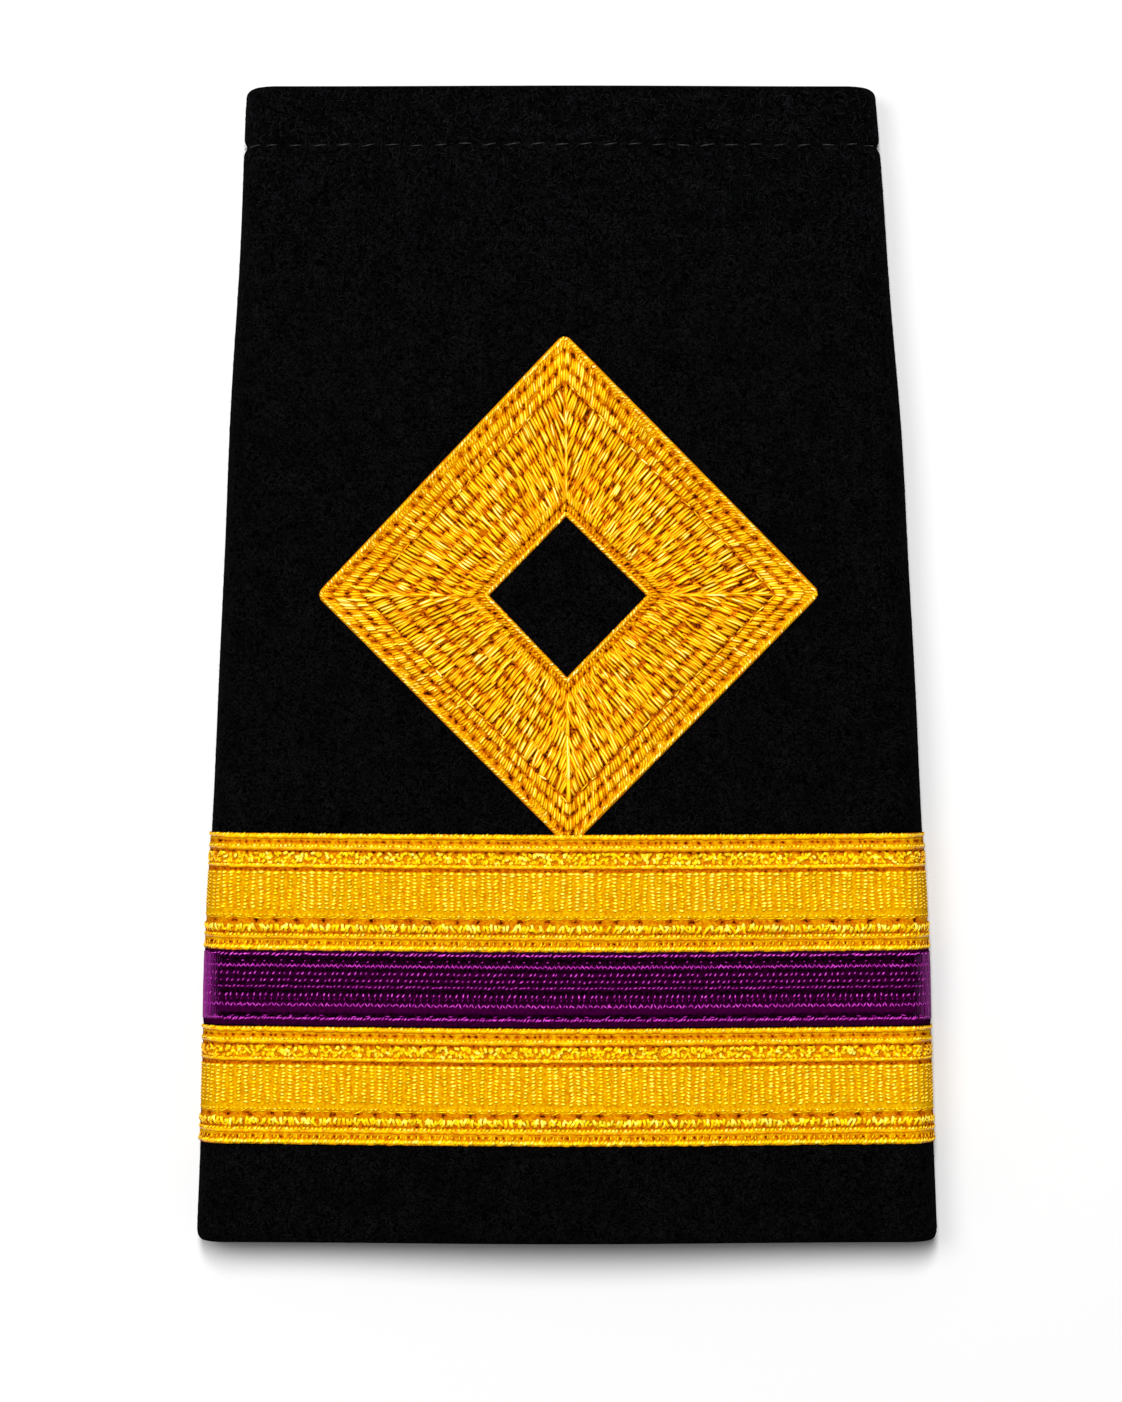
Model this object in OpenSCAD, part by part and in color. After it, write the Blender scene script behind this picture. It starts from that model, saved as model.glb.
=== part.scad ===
// Rank slide for a shoulder strap: a tapered tube of black felt that lies on its back, with
// two gold laces, a purple ribbon between them and an open gold diamond worked on its front.
// X runs across the slide, +Y to its narrow collar mouth and +Z out of its front.
// The origin is the middle of the length and width, on the surface that the slide lies on.

/* [Sleeve] */
// Length of the tube, from the shoulder mouth to the collar mouth
sleeve_len = 100; // [92:1:120]
// Width of the felt at the shoulder mouth
shoulder_w = 64.4; // [60:0.2:70]
// Width of the felt at the collar mouth
collar_w = 54.6; // [52:0.2:60]
// How far each side bows out past a straight taper
side_bow = 0.5; // [0:0.05:1]
// Height of the tube at its sides
side_h = 7; // [7:0.1:8]
// Rise of the front's middle at the shoulder mouth
shoulder_crown = 1.8; // [0.4:0.1:2.5]
// Rise of the front's middle at the collar mouth
collar_crown = 0.6; // [0.2:0.1:1.5]
// Reach of each rolled side, measured across the tube
side_roll = 2.6; // [2.2:0.1:3.2]
// Thickness of the felt
felt_t = 1; // [0.9:0.05:1.1]
// Rounding of the four corners, seen from the front
corner_r = 1.2; // [0.9:0.1:1.6]

/* [Hem and seam] */
// Width of the felt that is turned in at the collar mouth
hem_w = 7; // [6.4:0.1:9]
// Thickness of the hem, pressed and stitched down
hem_t = 1.25; // [1.1:0.05:1.3]
// Distance of the stitching from the collar mouth
stitch_from_mouth = 5.1; // [4:0.1:6]
// Depth of the dent that the stitching pulls in
stitch_dent = 0.25; // [0.05:0.05:0.3]
// Depth of the groove where the felt's edges meet, down the middle of the back
seam_groove = 0.3; // [0.05:0.05:0.4]

/* [Laces] */
// Width of a gold lace
lace_w = 10.2; // [10:0.1:11]
// Width of the purple ribbon
ribbon_w = 6.2; // [5.8:0.1:7]
// Bare felt between the shoulder mouth and the lower lace
bare_felt = 8.4; // [6:0.1:9]
// Gap between neighbouring strips
strip_gap = 0.2; // [0.1:0.05:0.5]
// Thickness of the laces at their cords
lace_t = 0.5; // [0.4:0.05:0.6]
// Thickness of the strips where they are pressed flat into the back seam
strip_end_t = 0.36; // [0.3:0.02:0.4]
// Clearance between the felt and what is sewn on it
sewing_gap = 0.06; // [0.04:0.01:0.1]

/* [Diamond] */
// How far the diamond is set to the right of the middle
diamond_x = 0; // [-0.5:0.1:0.5]
// Distance of its side corners from the shoulder mouth
diamond_v = 56.1; // [56:0.1:70]
// Half of its width
diamond_half_w = 21.7; // [20:0.1:22.5]
// Height of its upper half
diamond_up = 22.5; // [20:0.1:24]
// Height of its lower half
diamond_down = 21.2; // [19:0.1:21.2]
// Half of the width of its open middle
window_half_w = 6.6; // [5.5:0.1:7.5]
// Half of the height of its open middle
window_half_h = 6.7; // [5.5:0.1:7.5]
// How far its open middle is set below its side corners
window_drop = 0.2; // [-0.5:0.1:0.5]
// Radius of the twisted cord that edges it, outside and inside
edge_cord_r = 0.28; // [0.2:0.02:0.3]
// Height of the padded satin stitches over the felt
satin_h = 1; // [0.7:0.05:1.2]

/* [Hidden] */

felt_colour = "#101013";
gold_colour = "#f0b91a";
purple_colour = "#560a4c";

// Distances along the slide are measured from the shoulder mouth and called v
y_of_v = -sleeve_len / 2;
lace_top_t = sewing_gap + lace_t;
lower_lace_v = bare_felt;
ribbon_v = lower_lace_v + lace_w + strip_gap;
upper_lace_v = ribbon_v + ribbon_w + strip_gap;
strips_end_v = upper_lace_v + lace_w;

// The back stands on the strips that wrap it, and past them it comes down to lie flat
back_slope_start = strips_end_v + 0.6;
back_slope_run = 14;

// Half of the felt's width, which tapers in a shallow bow and is rounded off at both mouths
function corner_cut(from_mouth) =
    from_mouth >= corner_r
        ? 0
        : (corner_r - felt_t / 2) * (1 - sqrt(1 - pow(1 - from_mouth / corner_r, 2)));
function half_w(v) =
    let (share = v / sleeve_len)
    shoulder_w / 2 + (collar_w - shoulder_w) / 2 * share
        + 4 * side_bow * share * (1 - share)
        - corner_cut(v) - corner_cut(sleeve_len - v);

// Height of the back's outer face, which eases down from the strips to the surface
function ease(share) =
    let (s = min(1, max(0, share)))
    s * s * (3 - 2 * s);
function back_z(v) = lace_top_t * (1 - ease((v - back_slope_start) / back_slope_run));

// Rise of the front's middle, and the height of the front's outer face
function crown(v) = shoulder_crown + (collar_crown - shoulder_crown) * v / sleeve_len;
function front_z(v, share) = side_h + crown(v) * (1 + cos(180 * share)) / 2;
function face_z(x, v) = front_z(v, max(-1, min(1, x / (half_w(v) - side_roll))));

// Stops round the tube, from the back seam by the right side, the front and the left side.
// A stop on the back or front holds its share of the flat's half width, and one on a side
// holds its angle on the roll.
BACK = 0;
RIGHT = 1;
FRONT = 2;
LEFT = 3;
seam_share = 0.02;
right_half = concat(
    [[BACK, seam_share], [BACK, 0.5]],
    [for (angle = [-90:22.5:90]) [RIGHT, angle]],
    [for (share = [0.875:-0.125:0.1]) [FRONT, share]]
);
left_half = concat(
    [for (share = [-0.125:-0.125:-0.9]) [FRONT, share]],
    [for (angle = [90:-22.5:-90]) [LEFT, angle]],
    [[BACK, -0.5], [BACK, -seam_share]]
);
strip_stops = concat(right_half, [[FRONT, 0]], left_half);
sleeve_stops = concat([[BACK, 0]], strip_stops);

// The point of the tube's outer face at v and a stop, moved out of the felt by the amount out
function tube_point(v, stop, out) =
    let (
        flat_x = half_w(v) - side_roll,
        roll_h = (side_h - back_z(v)) / 2,
        side = stop[0] == LEFT ? -1 : 1,
        normal = [roll_h * cos(stop[1]), side_roll * sin(stop[1])],
        push = out / max(norm(normal), 0.001),
        y = v + y_of_v
    )
    stop[0] == BACK ? [stop[1] * flat_x, y, back_z(v) - out]
    : stop[0] == FRONT ? [stop[1] * flat_x, y, front_z(v, stop[1]) + out]
    : [
        side * (flat_x + side_roll * cos(stop[1]) + push * normal.x),
        y,
        back_z(v) + roll_h * (1 + sin(stop[1])) + push * normal.y
    ];

// Triangles between rings of points, where each ring is closed and joins the next one
function ring_faces(rings, points, closed) = [
    for (r = [0:rings - (closed ? 1 : 2)], p = [0:points - 1])
        let (
            near = r * points,
            far = ((r + 1) % rings) * points,
            next = (p + 1) % points
        )
        for (face = [[near + p, near + next, far + next], [near + p, far + next, far + p]])
            face
];
// Triangles that close a ring, all from its first point
function cap_faces(first, points, flip) = [
    for (p = [1:points - 2])
        flip ? [first, first + p + 1, first + p] : [first, first + p, first + p + 1]
];
// One list of points from a list of rings
function joined(rings) = [for (ring = rings, point = ring) point];

// The wall's outline along the tube, as [v, depth under the outer face]: round the shoulder
// mouth, along the outer face, round the collar mouth and back along the inner face
rim_turn = [0:45:180];
stitch_v = sleeve_len - stitch_from_mouth;
hem_v = sleeve_len - hem_w;
outer_vs = concat(
    [2.4, lower_lace_v, lower_lace_v + lace_w / 2],
    [ribbon_v, upper_lace_v, upper_lace_v + lace_w / 2, strips_end_v],
    [for (step = [0:4]) back_slope_start + back_slope_run * step / 4],
    [for (step = [1:6]) back_slope_start + back_slope_run
        + (stitch_v - 2 - back_slope_start - back_slope_run) * step / 6],
    [stitch_v - 0.8, stitch_v - 0.3, stitch_v, stitch_v + 0.3, stitch_v + 0.8],
    [sleeve_len - 2.6]
);
inner_vs = [
    stitch_v - 12, stitch_v - 30, back_slope_start + back_slope_run,
    back_slope_start + back_slope_run / 2, back_slope_start,
    strips_end_v - lace_w, lower_lace_v
];
function dent(v) = stitch_dent * exp(-pow((v - stitch_v) / 0.45, 2));
function rim(v, thickness, way, turn) = [
    v + way * corner_r * sin(turn), thickness / 2 * (1 - cos(turn))
];
wall = concat(
    [for (turn = rim_turn) rim(corner_r, felt_t, -1, 180 - turn)],
    [for (v = outer_vs) [v, dent(v)]],
    [for (turn = rim_turn) rim(sleeve_len - corner_r, hem_t, 1, turn)],
    [[hem_v + 0.3, hem_t], [hem_v, felt_t]],
    [for (v = inner_vs) [v, felt_t]]
);

// The seam groove is pressed into the outer face alone
function groove(stop, depth) =
    stop[0] == BACK && stop[1] == 0 && depth < felt_t / 2 ? seam_groove : 0;

// The felt tube, open at both mouths for the shoulder strap
module felt_sleeve() {
    color(felt_colour)
        polyhedron(
            points = joined([
                for (spot = wall) [
                    for (stop = sleeve_stops)
                        tube_point(spot[0], stop, -spot[1] - groove(stop, spot[1]))
                ]
            ]),
            faces = ring_faces(len(wall), len(sleeve_stops), true)
        );
}

// Relief across a gold lace, as [distance from its collar side edge, thickness]: cords at
// both edges, a band of loops, the broad ribbed ground and the line of running stitches
lace_relief = [
    [0, 0.3], [0.2, lace_t], [0.7, 0.34], [1.15, lace_t], [1.6, 0.34], [2, 0.46],
    [2.4, 0.34], [2.8, lace_t], [3.15, 0.3], [3.5, 0.42], [6.7, 0.42], [7.15, 0.46],
    [7.55, 0.32], [8.05, 0.46], [8.5, 0.34], [8.85, lace_t], [9.35, 0.36],
    [9.9, lace_t], [lace_w, 0.3]
];
// Relief across the purple ribbon: cords along both edges and rows of small stitches
ribbon_relief = [
    [0, 0.28], [0.25, 0.48], [0.7, 0.34], [1.15, 0.46], [1.5, 0.36], [1.9, 0.42],
    [4.6, 0.42], [5.2, 0.36], [5.75, 0.48], [ribbon_w, 0.28]
];

// A strip sewn round the tube, from the back seam all the way round to the back seam, where
// both of its ends are pressed flat
module strip(start_v, width, relief) {
    last = len(strip_stops) - 1;
    size = len(relief) + 2;
    polyhedron(
        points = joined([
            for (n = [0:last])
                let (stop = strip_stops[n], pressed = n == 0 || n == last)
                concat(
                    [tube_point(start_v + width, stop, sewing_gap)],
                    [for (spot = relief)
                        tube_point(
                            start_v + width - spot[0],
                            stop,
                            sewing_gap + (pressed ? strip_end_t : spot[1])
                        )],
                    [tube_point(start_v, stop, sewing_gap)]
                )
        ]),
        faces = concat(
            ring_faces(last + 1, size, false),
            cap_faces(0, size, true),
            cap_faces(last * size, size, false)
        )
    );
}

// The lower gold lace, nearest the shoulder mouth
module lower_gold_lace() {
    color(gold_colour)
        strip(lower_lace_v, lace_w, lace_relief);
}

// The purple ribbon between the two laces
module purple_ribbon() {
    color(purple_colour)
        strip(ribbon_v, ribbon_w, ribbon_relief);
}

// The upper gold lace
module upper_gold_lace() {
    color(gold_colour)
        strip(upper_lace_v, lace_w, lace_relief);
}

// Corners of the diamond's outer edge and of its open middle: top, left, bottom and right
outer_corners = [
    [0, diamond_up], [-diamond_half_w, 0], [0, -diamond_down], [diamond_half_w, 0]
];
window_corners = [
    [0, window_half_h - window_drop], [-window_half_w, -window_drop],
    [0, -window_half_h - window_drop], [window_half_w, -window_drop]
];
// Distance from the middle of an upright diamond to its sides
function reach(half_w, half_h) = half_w * half_h / norm([half_w, half_h]);
band_w = reach(diamond_half_w, (diamond_up + diamond_down) / 2)
    - reach(window_half_w, window_half_h);

// A corner of the line that runs round the diamond at an inset from its outer edge
function corner_at(n, inset) =
    outer_corners[n % 4] + (window_corners[n % 4] - outer_corners[n % 4]) * inset / band_w;

// The bottom corner lies on the upper lace, so the edge cord climbs onto it there
BOTTOM_CORNER = 2;
lap_turn = 0.06;
function lap_lift(turn) =
    lace_top_t * min(1, max(0, (lap_turn - abs(turn - BOTTOM_CORNER)) / (lap_turn / 2)));

// A point at a turn round the diamond, where whole turns are its corners, at an inset from its
// outer edge and a rise over the felt
function diamond_point(turn, inset, rise) =
    let (
        from = corner_at(floor(turn), inset),
        to = corner_at(floor(turn) + 1, inset),
        spot = from + (to - from) * (turn - floor(turn)),
        x = diamond_x + spot.x,
        v = diamond_v + spot.y
    )
    [x, v + y_of_v, face_z(x, v) + rise];

side_steps = 6;
field_turns = [for (step = [0:4 * side_steps - 1]) step / side_steps];
cord_turns = concat(
    [for (turn = field_turns) if (turn < BOTTOM_CORNER) turn],
    [for (part = [-1, -0.5, 0, 0.5, 1]) BOTTOM_CORNER + part * lap_turn],
    [for (turn = field_turns) if (turn > BOTTOM_CORNER) turn]
);

// The twisted cord along an edge of the diamond, with its middle at an inset
module edge_cord(inset, laps) {
    polyhedron(
        points = joined([
            for (turn = cord_turns) [
                for (angle = [0:45:315])
                    diamond_point(
                        turn,
                        inset - edge_cord_r * cos(angle),
                        sewing_gap + edge_cord_r * (1 + sin(angle)) + (laps ? lap_lift(turn) : 0)
                    )
            ]
        ]),
        faces = ring_faces(len(cord_turns), 8, true)
    );
}

// Relief across the diamond's band, as [share of the way in, share of the satin's height]: a
// flat channel, a band of short stitches, a smooth strip, the tall satin and a flat inner strip
field_relief = [
    [0, 0.3], [0.07, 0.38], [0.1, 0.7], [0.24, 0.74], [0.27, 0.58], [0.4, 0.64],
    [0.44, 0.95], [0.62, 1], [0.82, 0.9], [0.87, 0.5], [0.97, 0.44], [1, 0.3]
];
field_start = 2 * edge_cord_r + sewing_gap;
field_w = band_w - 2 * field_start;

// The padded satin stitches between the two edge cords
module diamond_field() {
    color(gold_colour)
        polyhedron(
            points = joined([
                for (turn = field_turns) concat(
                    [diamond_point(turn, field_start, sewing_gap)],
                    [for (spot = field_relief)
                        diamond_point(
                            turn, field_start + field_w * spot[0], sewing_gap + satin_h * spot[1]
                        )],
                    [diamond_point(turn, field_start + field_w, sewing_gap)],
                    [diamond_point(turn, field_start + field_w / 2, sewing_gap)]
                )
            ]),
            faces = ring_faces(len(field_turns), len(field_relief) + 3, true)
        );
}

// The cord round the outside, whose bottom corner laps over the upper lace
module diamond_outer_cord() {
    color(gold_colour)
        edge_cord(edge_cord_r, true);
}

// The cord round the open middle
module diamond_inner_cord() {
    color(gold_colour)
        edge_cord(band_w - edge_cord_r, false);
}

felt_sleeve();
lower_gold_lace();
purple_ribbon();
upper_gold_lace();
diamond_field();
diamond_outer_cord();
diamond_inner_cord();
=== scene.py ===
# A rank slide for a shoulder strap, lying on its back: a felt tube, two gold laces with a
# purple ribbon between them, and a gold diamond embroidered above them.
import math

import bpy
import numpy as np
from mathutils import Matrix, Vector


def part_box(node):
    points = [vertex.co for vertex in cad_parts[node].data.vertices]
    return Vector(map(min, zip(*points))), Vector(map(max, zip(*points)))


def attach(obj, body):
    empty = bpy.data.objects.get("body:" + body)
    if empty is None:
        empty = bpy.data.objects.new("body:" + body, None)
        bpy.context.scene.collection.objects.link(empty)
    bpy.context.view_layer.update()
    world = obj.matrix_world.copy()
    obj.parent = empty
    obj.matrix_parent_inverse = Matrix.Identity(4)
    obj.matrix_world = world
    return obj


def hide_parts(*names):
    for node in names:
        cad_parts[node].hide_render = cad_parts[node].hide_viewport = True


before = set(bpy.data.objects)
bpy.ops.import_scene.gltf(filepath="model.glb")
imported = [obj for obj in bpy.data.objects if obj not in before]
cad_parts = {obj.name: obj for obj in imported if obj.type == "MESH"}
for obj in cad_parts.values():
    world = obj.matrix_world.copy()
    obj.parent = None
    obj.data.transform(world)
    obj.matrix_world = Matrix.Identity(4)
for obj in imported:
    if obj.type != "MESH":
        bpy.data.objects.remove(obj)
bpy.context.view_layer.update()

# The felt tube.
# One flat cut of black milled wool felt, 1 mm thick, folded into a tapered tube whose edges
# meet down the middle of the back. The collar mouth has a turned hem.

MM = 0.001


def node_box(node):
    """Lowest and highest corners of a piece of the frame, in millimetres."""
    low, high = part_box(node)
    return np.array(low) / MM, np.array(high) / MM


felt_low, felt_high = node_box("felt_sleeve")
upper_low, upper_high = node_box("upper_gold_lace")
tube_length = felt_high[1] - felt_low[1]
# Width at each mouth, how far the sides bow out between them, and the corners' rounding
shoulder_width = 64.4
collar_width = 54.6
side_bow = 0.5
corner_depth = 0.15
# Height of the front where it meets the rolled sides, and its middle's rise over that
side_height = 7.0
shoulder_crown = 1.8
collar_crown = 0.6
side_roll = 2.6
felt_thickness = 1.0
hem_thickness = 1.25
hem_width = 7.0
mouth_rounding = 1.0
collar_rounding = 0.7
# The strips lift the back off the table, and past them it slopes down to it
strip_rise = 0.56
strips_end = upper_high[1] - felt_low[1]
back_slope_start = strips_end + 0.6
back_slope_run = 14.0
stitch_line = tube_length - 5.1
stitch_dent = 0.25
dent_width = 0.4
seam_groove = 0.3
groove_share = 0.005
# The collar end of this slide leans a little to the left, and its strips are sewn on bowed
collar_lean = 0.5
lean_start = 45
lean_run = 54
strip_bow = 0.14
bow_start = 3
bow_end = 50
bow_ease = 8
bow_middle = 3
bow_reach = 29
# Heights of the cloth's broad swells and of the smaller ripples between them
swell = 0.05
ripple = 0.04


def corner_cut(from_mouth):
    """How far a corner is rounded off, seen from the front."""
    return corner_depth * (1 - np.sqrt(1 - np.clip(1 - from_mouth, 0, 1) ** 2))


def half_width(v):
    """Half of the felt's width at v mm from the shoulder mouth."""
    share = v / tube_length
    taper = shoulder_width / 2 + (collar_width - shoulder_width) / 2 * share
    bow = 4 * side_bow * share * (1 - share)
    return taper + bow - corner_cut(v) - corner_cut(tube_length - v)


def back_height(v):
    """Height of the back's outer face, which comes down past the strips that wrap it."""
    share = np.clip((v - back_slope_start) / back_slope_run, 0, 1)
    return strip_rise * (1 - share * share * (3 - 2 * share))


def crown(v):
    """Rise of the front's middle over its sides."""
    return shoulder_crown + (collar_crown - shoulder_crown) * v / tube_length


def roll_length(v):
    """Length of cloth round one rolled side."""
    rise = (side_height - back_height(v)) / 2
    both = side_roll + rise
    return math.pi / 2 * (3 * both - np.sqrt((3 * side_roll + rise) * (side_roll + 3 * rise)))


def half_round(v):
    """Length of cloth from the front's middle line to the back seam."""
    return 2 * (half_width(v) - side_roll) + roll_length(v)


def tube_face(v, across):
    """Points of the felt's outer face and the way out of it there.

    v is measured from the shoulder mouth, and across round the tube from the front's middle
    line, both in millimetres.
    """
    v, across = np.broadcast_arrays(np.asarray(v, float), np.asarray(across, float))
    flat = half_width(v) - side_roll
    low = back_height(v)
    rise = (side_height - low) / 2
    roll = roll_length(v)
    way = np.where(across < 0, -1.0, 1.0)
    along = np.abs(across)
    angle = math.pi * (0.5 - np.clip((along - flat) / roll, 0, 1))
    on_front = along <= flat
    on_back = along >= flat + roll
    bend = math.pi * np.minimum(along / flat, 1)
    slope = crown(v) * math.pi / (2 * flat) * np.sin(bend)
    x = np.where(on_front, along, flat + side_roll * np.cos(angle))
    x = np.where(on_back, 2 * flat + roll - along, x)
    z = np.where(
        on_front,
        side_height + crown(v) * (1 + np.cos(bend)) / 2,
        low + rise * (1 + np.sin(angle)),
    )
    out_x = np.where(on_front, slope, rise * np.cos(angle))
    out_z = np.where(on_front, 1.0, side_roll * np.sin(angle))
    size = np.hypot(out_x, out_z)
    out_x, out_z = out_x / size, out_z / size
    # Cloth is never quite flat: it swells and sinks a little, except where it lies
    waves = swell * np.sin(v / 6.1 + along / 9.7) + ripple * np.sin(v / 3.7 - across / 5.3 + 1)
    waves = waves * np.clip(out_z + 1, 0, 1)
    lean = collar_lean * np.clip((v - lean_start) / lean_run, 0, 1) ** 1.7
    bowed = np.clip((bow_end - v) / bow_ease, 0, 1) * np.clip((v - bow_start) / bow_ease, 0, 1)
    bow = strip_bow * ((way * x - bow_middle) / bow_reach) ** 2 * bowed
    points = np.stack(
        [way * (x + out_x * waves) - lean, v + bow - tube_length / 2, z + out_z * waves], axis=-1
    )
    outwards = np.stack([way * out_x, np.zeros_like(out_x), out_z], axis=-1)
    return points, outwards


def dye(hex_colour):
    """An sRGB hex colour as linear red, green, blue and alpha."""
    parts = [int(hex_colour[i : i + 2], 16) / 255 for i in (1, 3, 5)]
    return [p / 12.92 if p <= 0.04045 else ((p + 0.055) / 1.055) ** 2.4 for p in parts] + [1.0]


def new_material(name):
    """An empty node material."""
    material = bpy.data.materials.new(name)
    material.use_nodes = True
    material.node_tree.nodes.clear()
    return material


def add_node(material, kind, values=None, links=None, stops=None, **settings):
    """Adds a node, sets it and its sockets, and joins its inputs to other nodes' outputs."""
    node = material.node_tree.nodes.new("ShaderNode" + kind)
    for key, value in settings.items():
        setattr(node, key, value)
    for socket, value in (values or {}).items():
        node.inputs[socket].default_value = value
    for socket, source in (links or {}).items():
        material.node_tree.links.new(source, node.inputs[socket])
    if stops:
        elements = node.color_ramp.elements
        while len(elements) < len(stops):
            elements.new(0.5)
        for element, (place, colour) in zip(elements, stops):
            element.position = place
            element.color = dye(colour)
    return node


def per_mm(millimetres):
    """The scale of a pattern whose cells are this many millimetres, in metres."""
    return 1 / (millimetres * MM)


def add_piece(name, points, faces, material, slot, shade=None, tone=None):
    """A smooth mesh, given in millimetres, that rides on the slide."""
    mesh = bpy.data.meshes.new(name)
    mesh.from_pydata((np.asarray(points) * MM).tolist(), [], faces)
    for layer, values in (("shade", shade), ("tone", tone)):
        if values is not None:
            mesh.attributes.new(layer, "FLOAT", "POINT").data.foreach_set(
                "value", np.asarray(values, np.float32)
            )
    mesh.shade_smooth()
    mesh.materials.append(material)
    piece = bpy.data.objects.new(name, mesh)
    bpy.context.scene.collection.objects.link(piece)
    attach(piece, "root")
    return piece


def milled_wool_felt():
    """Milled wool felt: dead matt and nearly black, clouded, with tangled fibres on top."""
    material = new_material("milled_wool_felt")
    place = add_node(material, "TexCoord").outputs["Object"]
    clouds = add_node(
        material, "TexNoise", {"Scale": per_mm(2.5), "Detail": 4.0, "Roughness": 0.7},
        {"Vector": place},
    )
    faint = add_node(
        material, "MapRange", {"To Min": 0.25, "To Max": 0.75}, {"Value": clouds.outputs["Fac"]}
    )
    # Wool fibres lie in tangles about 0.4 mm across: each is a thin line where the noise
    # passes its middle
    tangle = add_node(
        material, "TexNoise",
        {"Scale": per_mm(0.4), "Detail": 3.0, "Roughness": 0.65, "Distortion": 1.2},
        {"Vector": place},
    )
    off_middle = add_node(
        material, "Math", {1: 0.5}, {0: tangle.outputs["Fac"]}, operation="SUBTRACT"
    )
    off_line = add_node(
        material, "Math", None, {0: off_middle.outputs["Value"]}, operation="ABSOLUTE"
    )
    fibres = add_node(
        material, "MapRange", {"From Max": 0.09, "To Min": 1.0, "To Max": 0.0},
        {"Value": off_line.outputs["Value"]},
    )
    mixed = add_node(
        material, "Math", None, {0: faint.outputs["Result"], 1: fibres.outputs["Result"]},
        operation="MULTIPLY",
    )
    colour = add_node(
        material, "ValToRGB", None, {"Fac": mixed.outputs["Value"]},
        [(0.05, "#010101"), (0.25, "#030304"), (0.5, "#101011")],
    )
    relief = add_node(
        material, "Bump", {"Strength": 0.5, "Distance": 0.05 * MM},
        {"Height": fibres.outputs["Result"]},
    )
    shader = add_node(
        material, "BsdfPrincipled",
        {"Roughness": 1.0, "Specular IOR Level": 0.0, "Sheen Weight": 0.02,
         "Sheen Roughness": 0.35, "Sheen Tint": dye("#8a8a92")},
        {"Base Color": colour.outputs["Color"], "Normal": relief.outputs["Normal"]},
    )
    add_node(material, "OutputMaterial", None, {"Surface": shader.outputs["BSDF"]})
    return material


def wall_outline():
    """The felt's outline along the tube, as v and the depth under the outer face."""
    turn = np.radians(np.linspace(0, 180, 11))
    mouth = (1 - np.cos(turn)) / 2
    # The rows are 1.2 mm apart, and closer where the hem's stitches dent the felt
    fine = stitch_line + np.linspace(-1.2, 1.2, 15)
    body = np.arange(1.8, tube_length - 1.3, 1.2)
    body = np.sort(np.concatenate([body[np.abs(body - stitch_line) > 1.6], fine]))
    hem = tube_length - hem_width
    inside = np.arange(hem - 1, 2, -5.0)
    stretches = [
        (mouth_rounding * (1 - np.sin(turn)), felt_thickness * mouth[::-1]),
        (body, np.zeros_like(body)),
        (tube_length - collar_rounding * (1 - np.sin(turn)), hem_thickness * mouth),
        (np.array([hem + 0.25, hem + 0.1, hem]), np.array([hem_thickness, 1.15, felt_thickness])),
        (inside, np.full_like(inside, felt_thickness)),
    ]
    v, depth = zip(*stretches)
    return np.concatenate(v), np.concatenate(depth)


def grid_faces(rows, columns, closed_rows, closed_columns):
    """Faces over a grid of points. Where it is closed, its last points join its first."""
    row, column = np.meshgrid(
        np.arange(rows if closed_rows else rows - 1),
        np.arange(columns if closed_columns else columns - 1),
        indexing="ij",
    )
    next_row, next_column = (row + 1) % rows, (column + 1) % columns
    faces = np.stack(
        [row * columns + column, next_row * columns + column,
         next_row * columns + next_column, row * columns + next_column], axis=-1
    )
    return faces.reshape(-1, 4).tolist()


def build_felt_tube():
    """The felt's wall, round both mouths, with the dent of its hem stitching and its seam."""
    v, depth = wall_outline()
    columns = 216
    share = np.linspace(-1, 1, columns, endpoint=False)
    # The columns next to the back seam stand close to it, so that its groove is crisp
    share = np.where(np.abs(share) > 0.985, np.sign(share) * 0.994, share)
    v, share = np.meshgrid(v, share, indexing="ij")
    depth = depth[:, None] + 0 * v
    face, outwards = tube_face(v, share * half_round(v))
    outer = depth < felt_thickness * 0.3
    dent = stitch_dent * np.exp(-(((v - stitch_line) / dent_width) ** 2)) * outer
    groove = seam_groove * np.exp(-(((1 - np.abs(share)) / groove_share) ** 2)) * outer
    points = face - outwards * (depth + dent + groove)[..., None]
    return points.reshape(-1, 3), grid_faces(len(v), columns, True, True)


sleeve = add_piece("felt_tube", *build_felt_tube(), milled_wool_felt(), "black_felt")
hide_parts("felt_sleeve")

# The nap of the felt.
# Ends of wool fibre, up to 0.6 mm long, that the milling left lying on the cloth.


def drawn_thin(outwards):
    """Share of its thickness that a thread keeps: less round the sides, drawn tight there."""
    return 1 - 0.6 * outwards[..., 0] ** 2


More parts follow.
